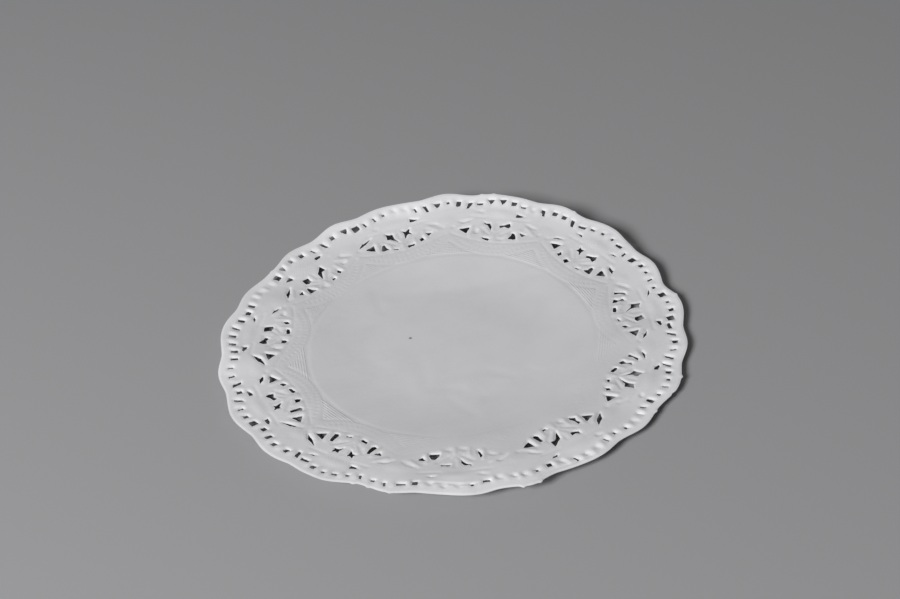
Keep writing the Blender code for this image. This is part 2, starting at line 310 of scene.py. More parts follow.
# Arcs of the swag under each motif: height of its lowest point, radius, reach either side
UPPER_ARC = {"bottom": 57.3, "radius": 50.7, "reach": 16.9}
LOWER_ARC = {"bottom": 50.8, "radius": 28.0, "reach": 16.4}
UPPER_PEARLS = {"bottom": 54.9, "radius": 16.9, "reach": 9.8}
LOWER_PEARLS = {"bottom": 52.5, "radius": 21.2, "reach": 13.8}
PEARL_PITCH = 1.85
PEARL_DEPTH = 0.075
PEARL_HALF = (0.65, 1.1)  # along its row, across it
PEARL_EDGE = 1.1  # where its fine relief ends, as a share of that
ARC_DEPTH = 0.095
ARC_HALF_WIDTH = 0.9
ARC_LINE = 0.7  # half the width of the fine line in it
ARC_FADE = 0.3  # either side of where an arc ends
CIRCLE_RADIUS = 50.8
CIRCLE_DEPTH = 0.11

# The punches bend the paper down round each hole; the bars between the slots stay padded
LIP_DROP = 0.28
LIP_SPREAD = (0.5, 1.2)  # the least and most share of it round a hole
LIP_WIDTH = 1.2
MARK_DROP = 1.35  # of a lip's, where a punch only marked the paper
MARK_WIDTH = 0.75
LIP_REACH = 3.0
LIP_LEAN = radians(65.0)  # the side of each hole that is bent most, anticlockwise from +X
LIP_LEAST = 0.06  # the share of it at the opposite side
LIP_TURN = (-0.4, 0.7)  # the cosines between which it goes from least to most
LACE_LIFT = 1.6  # how far the lace stands over the flat middle
LACE_RAMP = (28.0, 60.0)  # the radii between which it gets there
BAR_HEIGHT = 0.30
BAR_SPREAD = (0.35, 1.2)  # the least and most share of it
BAR_HALF_WIDTH = 1.2
BAR_HALF_LENGTH = 2.4
FLATTENED = (6, 0.0, 15.0)  # where handling pressed the bars flat: motif, x, reach
EDGE_DROP = 0.12  # the cut edge is bent down too
EDGE_WIDTH = 1.2
WAVE_HEIGHT = 0.06
WAVE_COUNT = 9
WAVE_LENGTHS = (14.0, 34.0)
WAVE_FULL = 70.0  # the radius from which the waves are full
FAR_OFF = 1e6  # beyond the sheet
TINY = 1e-9  # stands for 0 as a divisor

# Where the materials' relief starts and is full: distance from a hole, or from the edge
LIP_OUTSIDE = (0.75, 0.15)
LIP_INSIDE = (-0.45, 0.1)
ROLLED_EDGE = (0.75, 0.2)

# Patches where the fine work is fainter: a noise, and the span of it over which they fade
PATCHES = {"scale": 0.35, "detail": 2.0, "distortion": 0.0}
PATCH_SPAN = (0.30, 0.62)
FINE_LEAST = 0.4  # the share of the fine work that wear never takes

# Lighter colour in the lace and towards the rim: where it starts and is full, and its share
LACE_TONE = (56.0, 70.0, 0.45)  # by the height in the motif's frame
RIM_TONE = (8.0, 3.0, 0.55)  # by the distance from the edge

# Paper's noises: scale, detail and warp. Those with a turn have a scale along each axis
CLUMPS = {"scale": 1400.0, "detail": 4.0, "distortion": 0.6}
CLOUDS = {"scale": 90.0, "detail": 3.0, "distortion": 0.4}
FIBRES = (
    {"turn": 0.5, "scale": (900.0, 3600.0, 900.0), "detail": 2.0, "distortion": 0.8},
    {"turn": -0.9, "scale": (700.0, 3000.0, 700.0), "detail": 2.0, "distortion": 0.8},
)
WRINKLES = {"turn": 0.25, "scale": (16.0, 34.0, 16.0), "detail": 1.0, "distortion": 1.6}
WRINKLE_LINE = 0.07  # how near its middle value that noise makes a crease

# Their shares of the grain's height and of the tone
CLUMP_HEIGHT = 0.45
FIBRE_HEIGHT = 0.35
WRINKLE_HEIGHT = 0.6
CLUMP_TONE = 0.35
CLOUD_TONE = 0.65

# Looks of the paper. Clouds are the span of tone over which it is shaded
FACE_LOOK = {"creases": 0.3, "roughness": (0.62, 0.80), "specular": 0.35, "clouds": (0.0, 0.62)}
BACK_LOOK = {"creases": 0.2, "roughness": (0.75, 0.90), "specular": 0.35, "clouds": (0.0, 0.62)}
EDGE_LOOK = {"creases": 0.0, "roughness": (0.85, 0.95), "specular": 0.25, "clouds": (0.2, 0.8)}

# Vector Math operations that give a number
NUMBER_OPERATIONS = ("LENGTH", "DISTANCE", "DOT_PRODUCT")

# Paper: colours, and how deep its grain and its fine relief are, in metres
MIDDLE_PAPER = (0.775, 0.775, 0.798, 1.0)
LACE_PAPER = (0.93, 0.93, 0.95, 1.0)
SHADED_PAPER = (0.70, 0.70, 0.718, 1.0)
# White of the cut edges; on the face and back it is also a painted highlight along the lips of the
# holes and the rolled edge
EDGE_WHITE_AND_HIGHLIGHT = (0.92, 0.92, 0.94, 1.0)
SPECK = (0.12, 0.12, 0.12, 1.0)
SPECK_PLACE = (-0.0144, 0.0056, 0.0003)
SPECK_RADIUS = 0.0009
GRAIN_DEPTH = 0.00008
GRAIN_STRENGTH = 0.6
RELIEF_DEPTH = 0.00016

# Floor and lights, in metres and watts
FLOOR_REACH = 4.0  # each way from the doily's middle
FLOOR_COLOUR = (0.40, 0.40, 0.41, 1.0)
FLOOR_ROUGHNESS = 0.9
WINDOW = {"place": (-0.90, -1.07, 0.95), "size": (0.6, 0.5), "power": 27.2}
CEILING = {"place": (0.0, 0.3, 2.0), "size": (2.0, 2.0), "power": 2.0}
LIGHT_AIM = Vector((0.0, 0.0, 0.0))
ROOM_COLOUR = (1.0, 1.0, 1.0, 1.0)
ROOM_LIGHT = 0.08

# Camera
CAMERA_LENS = 72.0
SENSOR = 36.0
CAMERA_DISTANCE = 630.6
NEAREST_SEEN = 0.05  # in metres
CAMERA_ELEVATION = radians(36.78)
CAMERA_ROLL = radians(5.13)
IMAGE = Vector((900.0, 599.0))
DOILY_PIXEL = Vector((452.0, 344.9))  # where the doily's middle stands in the image

# ---- flat sheet ----


def scallop(angle):
    """1 at a crest and 0 at a valley, for angles measured clockwise from motif 1."""
    turned = MOTIFS * angle
    return np.abs(np.cos(turned - VALLEY_SHIFT * np.sin(turned))) ** VALLEY_TIGHTNESS


def drawn_in(angle, depth):
    """How much further in than over a motif's axis a scalloped line runs."""
    over_gap = (1 - np.cos(MOTIFS * angle)) / 2
    return depth * (1 - scallop(angle)) + GAP_CREST_DROP * over_gap


def nicked(angle, radius):
    """How far the edge's small and broad marks move it at this angle."""
    marks = [(motif, x, out, NICK_WIDTH) for motif, x, out in NICKS]
    moved = 0.0
    for motif, x, out, width in (*marks, *SWELLINGS):
        away = (angle - (motif - 1) * REPEAT - x / radius + pi) % tau - pi
        moved += out * np.exp(-((away * radius / width) ** 2))
    return moved


def rim_radius(angle):
    radius = RIM_RADIUS - drawn_in(angle, SCALLOP_DEPTH)
    return radius + nicked(angle, radius)


def ring_radius(angle):
    return RING_RADIUS - drawn_in(angle, RING_DEPTH)


def on_circle(radius, angle):
    """A point at this radius, with the angle measured clockwise from motif 1."""
    turned = FIRST_MOTIF - angle
    return Vector((radius * cos(turned), radius * sin(turned), 0.0))


def add_band(bm, inner, outer, columns, rows):
    """A flat ring of quads. Its outer radius is a number or a function of the angle."""
    before = set(bm.verts)
    bmesh.ops.create_grid(bm, x_segments=columns, y_segments=rows, size=1.0)
    made = [v for v in bm.verts if v not in before]
    for v in made:
        angle = (v.co.x + 1) * pi
        share = (v.co.y + 1) / 2
        reach = outer(angle) if callable(outer) else outer
        v.co = on_circle(inner + (reach - inner) * share, angle)
    bmesh.ops.remove_doubles(bm, verts=made, dist=SAME_PLACE)


def loop_at(bm, radius):
    """The boundary edges of the ring that stands nearest this radius."""
    return [e for e in bm.edges if e.is_boundary and abs(e.verts[0].co.length - radius) < SAME_RING]


def join_bands(bm, outer_band, inner_band):
    edges = loop_at(bm, outer_band["inner"]) + loop_at(bm, inner_band["outer"])
    bmesh.ops.bridge_loops(bm, edges=edges)


def flat_sheet():
    """The uncut sheet: one closed slab, flat."""
    bm = bmesh.new()
    add_band(bm, outer=rim_radius, **RIM_BAND)
    add_band(bm, **INNER_BAND)
    add_band(bm, **MIDDLE)
    join_bands(bm, RIM_BAND, INNER_BAND)
    join_bands(bm, INNER_BAND, MIDDLE)
    pole = dict.fromkeys(v for edge in loop_at(bm, MIDDLE["inner"]) for v in edge.verts)
    bmesh.ops.pointmerge(bm, verts=list(pole), merge_co=(0.0, 0.0, 0.0))
    bmesh.ops.translate(bm, verts=extruded(bm, bm.faces[:]), vec=(0.0, 0.0, PAPER))
    bmesh.ops.recalc_face_normals(bm, faces=bm.faces[:])
    return new_object("doily_sheet", bm)


def extruded(bm, faces):
    """Extrudes these faces where they are, and gives the new faces' points."""
    made = bmesh.ops.extrude_face_region(bm, geom=faces)["geom"]
    return [item for item in made if isinstance(item, bmesh.types.BMVert)]


def order_walls(bm):
    """Puts the upright faces last and in one order, since an extrusion's order varies."""
    bm.normal_update()
    walls = [face for face in bm.faces if abs(face.normal.z) < UPRIGHT]
    flat = [face for face in bm.faces if abs(face.normal.z) >= UPRIGHT]
    walls.sort(key=lambda wall: tuple(wall.calc_center_median()))
    for place, face in enumerate(flat + walls):
        face.index = place
    bm.faces.sort()


def new_object(name, bm):
    """Turns a finished bmesh into an object of the scene."""
    order_walls(bm)
    mesh = bpy.data.meshes.new(name)
    bm.to_mesh(mesh)
    bm.free()
    made = bpy.data.objects.new(name, mesh)
    bpy.context.collection.objects.link(made)
    return made


# ---- holes ----


def from_frame(corner, angle, side=1):
    """A point of a motif's or slot's own frame, mirrored to the left where side is -1."""
    out = on_circle(1.0, angle)
    along = Vector((out.y, -out.x, 0.0))
    return along * corner[0] * side + out * corner[1]


def ring_slots():
    """The angle of every slot's middle, clockwise from motif 1, with the slot's form."""
    return [
        (motif * REPEAT + (first + place * pitch) / RING_RADIUS, form)
        for motif, (first, pitch, forms) in enumerate(RING)
        for place, form in enumerate(forms)
    ]


def middle_of(outline):
    return sum(outline, Vector((0.0, 0.0, 0.0))) / len(outline)


def enlarged(outline):
    """An outline, a little larger about its own middle."""
    middle = middle_of(outline)
    return [middle + (corner - middle) * HOLE_GROWTH for corner in outline]


def all_holes():
    """Every hole as (outline, whether it is cut through)."""
    rng = Random(SEEDS["holes"])
    found = []
    for angle, form in ring_slots():
        middle = ring_radius(angle) + rng.uniform(-SLOT_WANDER, SLOT_WANDER)
        shift = rng.uniform(-SLOT_WANDER, SLOT_WANDER)
        wide = rng.uniform(*SLOT_STRETCH)
        corners = [(x * wide + shift, y + middle) for x, y in SLOT_FORMS[form]]
        outline = enlarged([from_frame(corner, angle) for corner in corners])
        found.append((outline, form != MARKED))
    for motif, sides in enumerate(CHART):
        for side, letters in zip((-1, 1), sides):
            for forms, form in zip(HOLES.values(), letters):
                corners = [from_frame(corner, motif * REPEAT, side) for corner in forms[form]]
                found.append((enlarged(corners), form != MARKED))
    return found


def add_cutter(bm, outline, rng):
    """A slightly rounded and ragged prism through the sheet."""
    face = bm.faces.new([bm.verts.new(corner) for corner in outline])
    cuts = EDGE_CUTS + 1 if len(outline) <= FEW_CORNERS else EDGE_CUTS
    made = bmesh.ops.subdivide_edges(bm, edges=face.edges[:], cuts=cuts)
    between = [item for item in made["geom"] if isinstance(item, bmesh.types.BMVert)]
    face = between[0].link_faces[0]
    around = face.verts[:]
    rounding = {"factor": CORNER_ROUNDING, "use_axis_x": True, "use_axis_y": True}
    bmesh.ops.smooth_vert(bm, verts=around, **rounding)
    for v in around:
        across = rng.uniform(-RAGGEDNESS, RAGGEDNESS)
        along = rng.uniform(-RAGGEDNESS, RAGGEDNESS)
        v.co += Vector((across, along, 0.0))
    top = extruded(bm, [face])
    bmesh.ops.translate(bm, verts=around, vec=(0.0, 0.0, -PUNCH_REACH))
    bmesh.ops.translate(bm, verts=top, vec=(0.0, 0.0, PUNCH_REACH + PAPER))


def punches(holes):
    """One mesh with a prism for each hole that is cut through."""
    rng = Random(SEEDS["cuts"])
    bm = bmesh.new()
    for outline, cut_through in holes:
        if cut_through:
            add_cutter(bm, outline, rng)
    bmesh.ops.recalc_face_normals(bm, faces=bm.faces[:])
    return new_object("punches", bm)


def punch(sheet, holes):
    """Cuts every open hole through the flat sheet and leaves it a plain mesh."""
    cutter = punches(holes)
    cut = sheet.modifiers.new("punched", "BOOLEAN")
    cut.object = cutter
    cut.operation = "DIFFERENCE"
    cut.solver = "EXACT"
    graph = bpy.context.evaluated_depsgraph_get()
    mesh = bpy.data.meshes.new_from_object(sheet.evaluated_get(graph))
    sheet.modifiers.clear()
    sheet.data = mesh
    bpy.data.objects.remove(cutter)
    split_wide_faces(mesh)


def split_wide_faces(mesh):
    """Splits the faces of more than four corners, which the cutting leaves, into triangles."""
    bm = bmesh.new()
    bm.from_mesh(mesh)
    wide = [face for face in bm.faces if len(face.verts) > 4]
    bmesh.ops.triangulate(bm, faces=wide)
    bm.to_mesh(mesh)
    bm.free()


# ---- embossing ----


def soft_step(value, start, end):
    share = np.clip((value - start) / (end - start), 0.0, 1.0)
    return share * share * (3 - 2 * share)


def soft_ridge(distance, half_width):
    """A rounded ridge: 1 on its line and 0 from half_width on."""
    return (1 - np.clip(distance / half_width, 0.0, 1.0) ** 2) ** 2


def line_distance(x, y, start, end):
    """How far each point lies from a straight line between two ends."""
    dx, dy = end[0] - start[0], end[1] - start[1]
    share = np.clip(((x - start[0]) * dx + (y - start[1]) * dy) / (dx * dx + dy * dy), 0, 1)
    return np.hypot(x - start[0] - share * dx, y - start[1] - share * dy)


def soft_lines(x, y, lines):
    """How high or deep the most marked of these lines is: both ends, height, half-width."""
    marked = np.zeros_like(x)
    for start, end, height, half_width in lines:
        found = height * soft_ridge(line_distance(x, y, start, end), half_width)
        marked = np.maximum(marked, found)
    return marked


def outline_distance(x, y, corners):
    """How far each point lies outside an outline, and under 0 inside it."""
    nearest = np.full_like(x, FAR_OFF)
    inside = np.zeros(x.shape, bool)
    for a, b in zip(corners, corners[1:] + corners[:1]):
        nearest = np.minimum(nearest, line_distance(x, y, a, b))
        crosses = (a[1] > y) != (b[1] > y)
        side = a[0] + (y - a[1]) * (b[0] - a[0]) / (b[1] - a[1] or TINY)
        inside ^= crosses & (x < side)
    return np.where(inside, -nearest, nearest)


def lips(x, y, holes):
    """How far the paper bends down round holes and marks, and how far off an open hole is."""
    rng = Random(SEEDS["lips"])
    bent = np.zeros_like(x)
    nearest = np.full_like(x, LIP_REACH)
    for outline, cut_through in holes:
        drop = LIP_DROP * rng.uniform(*LIP_SPREAD) * (1 if cut_through else MARK_DROP)
        width = LIP_WIDTH if cut_through else MARK_WIDTH
        middle = middle_of(outline)
        across, along = x - middle.x, y - middle.y
        reach = max((corner - middle).length for corner in outline) + LIP_REACH
        near = np.hypot(across, along) < reach
        away = outline_distance(x[near], y[near], outline)
        facing = np.cos(np.arctan2(along[near], across[near]) - LIP_LEAN)
        share = LIP_LEAST + (1 - LIP_LEAST) * soft_step(facing, *LIP_TURN)
        lip = drop * share * (1 - np.clip(away / width, 0.0, 1.0)) ** 2
        bent[near] = np.maximum(bent[near], lip)
        if cut_through:
            nearest[near] = np.minimum(nearest[near], away)
    return bent, nearest


def along_rim(angle, motif, x, radius):
    """How far round the rim each point lies from a place in a motif's frame."""
    away = (angle - (motif - 1) * REPEAT - x / RIM_RADIUS + pi) % tau - pi
    return np.abs(away) * radius


def bars(angle, radius):
    """The padding between the slots of the ring, plumper here and there."""
    slots = np.array([slot for slot, _ in ring_slots()])
    gaps = np.diff(slots, append=slots[0] + tau)
    turned = (angle - slots[0]) % tau + slots[0]
    which = np.searchsorted(slots, turned, side="right") - 1
    rng = Random(SEEDS["bars"])
    plump = np.array([rng.uniform(*BAR_SPREAD) for _ in slots])[which]
    across = np.abs(turned - slots[which] - gaps[which] / 2) * radius
    along = np.abs(radius - ring_radius(angle))
    bar = soft_ridge(across, BAR_HALF_WIDTH) * soft_ridge(along, BAR_HALF_LENGTH)
    motif, x, reach = FLATTENED
    flat = soft_ridge(along_rim(angle, motif, x, radius), reach)
    return BAR_HEIGHT * plump * bar * (1 - flat)


def dome(x, y, middle, half, height):
    """A soft rise over an upright ellipse of a frame."""
    return height * soft_ridge(np.hypot((x - middle[0]) / half[0], (y - middle[1]) / half[1]), 1.0)


def arc_distance(x, y, arc):
    """Distance from an arc of the swag, and how far along it each point lies."""
    middle = arc["bottom"] + arc["radius"]
    away = np.abs(np.hypot(x, y - middle) - arc["radius"])
    along = np.arctan2(x, middle - y) * arc["radius"]
    away = np.where((np.abs(x) > arc["reach"]) | (y > middle), FAR_OFF, away)
    return away, along


def pearls(x, y, row):
    away, along = arc_distance(x, y, row)
    between = ((along / PEARL_PITCH + 0.5) % 1.0 - 0.5) * PEARL_PITCH
    return soft_ridge(np.hypot(between / PEARL_HALF[0], away / PEARL_HALF[1]), 1.0)


def pressed_swag(x, y, radius):
    """How deep the swag's arcs and pearls, and the circle within them, are pressed."""
    deep = CIRCLE_DEPTH * soft_ridge(np.abs(radius - CIRCLE_RADIUS), ARC_HALF_WIDTH)
    for arc in (UPPER_ARC, LOWER_ARC):
        found = ARC_DEPTH * soft_ridge(arc_distance(x, y, arc)[0], ARC_HALF_WIDTH)
        deep = np.maximum(deep, found)
    for row in (UPPER_PEARLS, LOWER_PEARLS):
        deep = np.maximum(deep, PEARL_DEPTH * pearls(x, y, row))
    return deep


def turned_down(angle, radius, from_edge):
    """How far the edge hangs where it was bent down in handling."""
    sunk = np.zeros_like(angle)
    half_width, depth = TURN_LINE
    for motif, x, reach, width, drop in TURNED:
        share = soft_ridge(along_rim(angle, motif, x, radius), reach)
        strip = np.clip(1 - from_edge / width, 0.0, 1.0)
        line = depth * soft_ridge(np.abs(from_edge - width), half_width)
        sunk += share * (drop * strip + line)
    return sunk


def left_by_wear(x, y):
    """The share of the swag's depth that handling has left."""
    along = x * cos(WORN_DIRECTION) + y * sin(WORN_DIRECTION)
    return 1 - WORN_SHARE * soft_step(along, *WORN_REACH)


def lace_frames(x, y):
    """Each point in its motif's frame and in its gap's frame, and its angle and radius."""
    radius = np.hypot(x, y)
    angle = (FIRST_MOTIF - np.arctan2(y, x)) % tau
    in_motif = angle - np.round(angle / REPEAT) * REPEAT
    in_gap = angle - (np.floor(angle / REPEAT) + 0.5) * REPEAT
    motif = radius * np.sin(in_motif), radius * np.cos(in_motif)
    gap = radius * np.sin(in_gap), radius * np.cos(in_gap)
    return motif, gap, angle, radius


def embossing(x, y, holes):
    """How high the press leaves the paper at each point, and what its material needs there."""
    (mx, my), (gx, gy), angle, radius = lace_frames(x, y)
    side = np.abs(mx)
    bent, from_hole = lips(x, y, holes)
    sunk = pressed_swag(mx, my, radius) * left_by_wear(x, y)
    sunk = np.maximum(sunk, soft_lines(side, my, CREASES))
    lifted = LACE_LIFT * soft_step(radius, *LACE_RAMP) + BED * (1 - soft_step(radius, *BED_EDGE))
    padded = np.maximum(bars(angle, radius), soft_lines(side, my, INNER_BARS))
    domed = dome(side, my, LENS_MIDDLE, LENS_HALF, LENS_RISE)
    domed += dome(gx, gy, KITE_MIDDLE, KITE_HALF, KITE_RISE)
    raised = lifted + padded + domed - np.maximum(bent, sunk)

    from_edge = rim_radius(angle) - radius
    raised -= EDGE_DROP * (1 - np.clip(from_edge / EDGE_WIDTH, 0.0, 1.0)) ** 2
    raised -= soft_lines(x, y, FOLDS) + turned_down(angle, radius, from_edge)
    in_motif = np.stack((side, my, from_hole), 1)
    in_gap = np.stack((np.abs(gx), gy, from_edge), 1)
    return raised, in_motif, in_gap


def rise(distance, height):
    """Height of a curl that starts at FLAT_RADIUS and reaches its full height at the rim."""
    share = np.maximum(0.0, distance - FLAT_RADIUS) / (CURL_RADIUS - FLAT_RADIUS)
    return height * share * share


def curl(x, y):
    """How far the loose sheet rises from the floor, before its embossing."""
    radius = np.hypot(x, y)
    angle = np.arctan2(y, x)
    along = x * cos(CURL_DIRECTION) + y * sin(CURL_DIRECTION)
    swell = np.cos(SWELL_COUNT * (angle - SWELL_DIRECTION))
    bowl = rise(radius, RIM_LIFT + SWELL_HEIGHT * swell)
    ends = rise(along, FAR_LIFT) + rise(-along, NEAR_LIFT)
    turned = np.maximum(0.0, radius - TURN_RADIUS) / (CURL_RADIUS - TURN_RADIUS)
    turn = TURN_LIFT + TURN_SWING * np.sin(angle) + TURN_SWELL * swell
    return bowl + ends + turn * turned * turned


def waves(x, y):
    """The loose unevenness of thin paper, none where it lies flat."""
    rng = Random(SEEDS["waves"])
    made = np.zeros_like(x)
    for _ in range(WAVE_COUNT):
        turn = rng.uniform(0, tau)
        length = rng.uniform(*WAVE_LENGTHS)
        start = rng.uniform(0, tau)
        made += np.sin((x * cos(turn) + y * sin(turn)) * tau / length + start)
    fade = soft_step(np.hypot(x, y), FLAT_RADIUS, WAVE_FULL)
    return WAVE_HEIGHT * made * fade


def shape_sheet(sheet, holes):
    """Raises the flat, punched sheet into its embossed and curled form, in metres."""
    mesh = sheet.data
    count = len(mesh.vertices)
    flat = np.empty(count * 3, np.float32)
    mesh.vertices.foreach_get("co", flat)
    place = flat.reshape(-1, 3).astype(float)
    x, y = place[:, 0], place[:, 1]
    raised, in_motif, in_gap = embossing(x, y, holes)
    place[:, 2] += raised + curl(x, y) + waves(x, y)
    mesh.vertices.foreach_set("co", (place * MM).ravel().astype(np.float32))
    for name, values in (("in_motif", in_motif), ("in_gap", in_gap)):
        stored = mesh.attributes.new(name, "FLOAT_VECTOR", "POINT")
        stored.data.foreach_set("vector", values.ravel().astype(np.float32))
    mesh.update()


def sort_faces(mesh):
    """Gives the back and the cut edges their materials, while the sheet is flat."""
    for face in mesh.polygons:
        if abs(face.normal.z) < UPRIGHT:
            face.material_index = CUT_EDGE
        elif face.normal.z < 0:
            face.material_index = BACK


def doily():
    holes = all_holes()
    sheet = flat_sheet()
    punch(sheet, holes)
    for material in paper_materials():
        sheet.data.materials.append(material)
    sort_faces(sheet.data)
    shape_sheet(sheet, holes)
    sheet.data.shade_smooth()
    sheet.data.set_sharp_from_angle(angle=SHARP_ANGLE)
    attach(sheet, "root")
    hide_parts("doily")


# ---- materials ----


def add_node(tree, kind, inputs=None, **settings):
    """A node with its settings, and each input either a value or a link to another socket."""
    made = tree.nodes.new(kind)
    for name, value in settings.items():
        setattr(made, name, value)
    for place, value in (inputs or {}).items():
        if isinstance(value, bpy.types.NodeSocket):
            tree.links.new(value, made.inputs[place])
        else:
            made.inputs[place].default_value = value
    return made


def maths(tree, operation, *values):
    """A Math node on these values, each a number or a link to another socket."""
    return add_node(tree, "ShaderNodeMath", dict(enumerate(values)), operation=operation).outputs[0]


def vector_maths(tree, operation, *vectors):
    """A Vector Math node: its number where the operation gives one, or else its vector."""
    inputs = dict(enumerate(vectors))
    made = add_node(tree, "ShaderNodeVectorMath", inputs, operation=operation).outputs
    return made["Value"] if operation in NUMBER_OPERATIONS else made["Vector"]


def smooth(tree, value, start, end):
    """0 at start and 1 at end, eased both ways."""
    limits = {"Value": value, "From Min": start, "From Max": end}
    made = add_node(tree, "ShaderNodeMapRange", limits, interpolation_type="SMOOTHSTEP")
    return made.outputs["Result"]


def noise(tree, place, scale, detail, distortion):
    inputs = {"Vector": place, "Scale": scale, "Detail": detail, "Distortion": distortion}
    return add_node(tree, "ShaderNodeTexNoise", inputs).outputs["Fac"]


def stretched(tree, place, turn, scale):
    """A place turned about Z, after it is scaled along each axis."""
    inputs = {"Vector": place, "Rotation": (0.0, 0.0, turn), "Scale": scale}
    return add_node(tree, "ShaderNodeMapping", inputs).outputs["Vector"]


def stretched_noise(tree, place, turn, scale, detail, distortion):
    return noise(tree, stretched(tree, place, turn, scale), 1.0, detail, distortion)


def new_group(name, inputs, outputs):
    """A node group with named sockets, and its two end nodes."""
    tree = bpy.data.node_groups.new(name, "ShaderNodeTree")
    for socket, kind in inputs:
        tree.interface.new_socket(socket, in_out="INPUT", socket_type=kind)
    for socket in outputs:
        tree.interface.new_socket(socket, in_out="OUTPUT", socket_type="NodeSocketFloat")
    start = tree.nodes.new("NodeGroupInput").outputs
    end = tree.nodes.new("NodeGroupOutput").inputs
    return tree, start, end


def fibre_group():
    """Paper stock: clumped fibres, a soft cloudy tone and long faint creases."""
    inputs = [("Place", "NodeSocketVector"), ("Creases", "NodeSocketFloat")]
    tree, start, end = new_group("paper_fibre", inputs, ["Tone", "Height"])
    place = start["Place"]
    clumps = noise(tree, place, **CLUMPS)
    along, across = [stretched_noise(tree, place, **fibres) for fibres in FIBRES]
    cloudy = noise(tree, place, **CLOUDS)

    bent = stretched_noise(tree, place, **WRINKLES)
    crease = maths(tree, "ABSOLUTE", maths(tree, "SUBTRACT", bent, 0.5))
    crease = smooth(tree, crease, WRINKLE_LINE, 0.0)
    crease = maths(tree, "MULTIPLY", crease, start["Creases"])

    height = maths(tree, "MULTIPLY", maths(tree, "MAXIMUM", along, across), FIBRE_HEIGHT)
    height = maths(tree, "MULTIPLY_ADD", clumps, CLUMP_HEIGHT, height)
    height = maths(tree, "MULTIPLY_ADD", crease, WRINKLE_HEIGHT, height)
    tone = maths(tree, "MULTIPLY", cloudy, CLOUD_TONE)
    tone = maths(tree, "MULTIPLY_ADD", clumps, CLUMP_TONE, tone)
    tree.links.new(height, end["Height"])
    tree.links.new(tone, end["Tone"])
    return tree


def ellipse(tree, place, middle, half):
    """1 inside an upright ellipse of a frame and 0 outside it."""
    shift = {"Vector": place, "Location": (-middle[0], -middle[1], 0.0)}
    moved = add_node(tree, "ShaderNodeMapping", shift).outputs["Vector"]
    shrink = (1 / half[0], 1 / half[1], 0.0)
    sized = vector_maths(tree, "MULTIPLY", moved, shrink)
    return smooth(tree, vector_maths(tree, "LENGTH", sized), 1.0, FIELD_FULL)


def fan(tree, x, y):
    """1 inside the triangle of hatching that stands on the inner circle in a gap."""
    slope = FAN_HALF_WIDTH / (FAN_TOP - FAN_BOTTOM)
    side = maths(tree, "MULTIPLY", maths(tree, "SUBTRACT", FAN_TOP, y), slope)
    within = smooth(tree, maths(tree, "SUBTRACT", side, x), 0.0, FAN_FADE[0])
    above = smooth(tree, y, FAN_BOTTOM, FAN_BOTTOM + FAN_FADE[1])
    return maths(tree, "MULTIPLY", within, above)


def hatching(tree, x, y):
    """Lines along x, each one a close row of dots."""
    lines = maths(tree, "SINE", maths(tree, "MULTIPLY", y, tau / HATCH_PITCH))
    dots = maths(tree, "COSINE", maths(tree, "MULTIPLY", x, tau / HATCH_PITCH))
    lines = maths(tree, "MULTIPLY_ADD", lines, 0.5, 0.5)
    dots = maths(tree, "MULTIPLY_ADD", dots, HATCH_DOTS, 1 - HATCH_DOTS)
    return maths(tree, "MULTIPLY", lines, dots)


def netting(tree, place):
    """Rows of small round dots, set on the slant."""
    turned = stretched(tree, place, NET_TURN, (1 / NET_PITCH, 1 / NET_PITCH, 0.0))
    grid = {"Vector": turned, "Randomness": 0.0, "Scale": 1.0}
    away = add_node(tree, "ShaderNodeTexVoronoi", grid).outputs["Distance"]
    return smooth(tree, away, *NET_DOT)


def swag_line(tree, flat, x, y, arc):
    """Distance from an arc of the swag, how far along it, and 1 within its reach."""
    middle = arc["bottom"] + arc["radius"]
    spoke = vector_maths(tree, "DISTANCE", flat, (0.0, middle, 0.0))
    away = maths(tree, "ABSOLUTE", maths(tree, "SUBTRACT", spoke, arc["radius"]))
    turned = maths(tree, "ARCTAN2", x, maths(tree, "SUBTRACT", middle, y))
    along = maths(tree, "MULTIPLY", turned, arc["radius"])
    within = smooth(tree, x, arc["reach"] + ARC_FADE, arc["reach"] - ARC_FADE)
    return away, along, within


def pearl_row(tree, flat, x, y, row):
    away, along, within = swag_line(tree, flat, x, y, row)
    between = maths(tree, "PINGPONG", along, PEARL_PITCH / 2)
    shares = {
        "X": maths(tree, "DIVIDE", between, PEARL_HALF[0]),
        "Y": maths(tree, "DIVIDE", away, PEARL_HALF[1]),
    }
    place = add_node(tree, "ShaderNodeCombineXYZ", shares).outputs["Vector"]
    pearl = smooth(tree, vector_maths(tree, "LENGTH", place), PEARL_EDGE, 0.0)
    return maths(tree, "MULTIPLY", pearl, within)


def swag(tree, flat, x, y):
    """The swag's fine lines and its rows of pearls."""
    found = []
    for arc in (UPPER_ARC, LOWER_ARC):
        away, _, within = swag_line(tree, flat, x, y, arc)
        line = maths(tree, "MULTIPLY", smooth(tree, away, ARC_LINE, 0.0), ARC_SHARE)
        found.append(maths(tree, "MULTIPLY", line, within))
    found += [pearl_row(tree, flat, x, y, row) for row in (UPPER_PEARLS, LOWER_PEARLS)]
    made = found[0]
    for part in found[1:]:
        made = maths(tree, "MAXIMUM", made, part)
    return made


def left_by_wear_mask(tree, place):
    """The same share as left_by_wear, where place is in metres."""
    toward = (cos(WORN_DIRECTION), sin(WORN_DIRECTION), 0.0)
    along = vector_maths(tree, "DOT_PRODUCT", place, toward)
    first, full = WORN_REACH
    rubbed = smooth(tree, along, first * MM, full * MM)
    return maths(tree, "MULTIPLY_ADD", rubbed, -WORN_SHARE, 1.0)


def parts(tree, vector):
    return add_node(tree, "ShaderNodeSeparateXYZ", {"Vector": vector}).outputs


def net_in(tree, place, middle, half):
    """Netting within an upright ellipse of a frame."""
    return maths(tree, "MULTIPLY", netting(tree, place), ellipse(tree, place, middle, half))


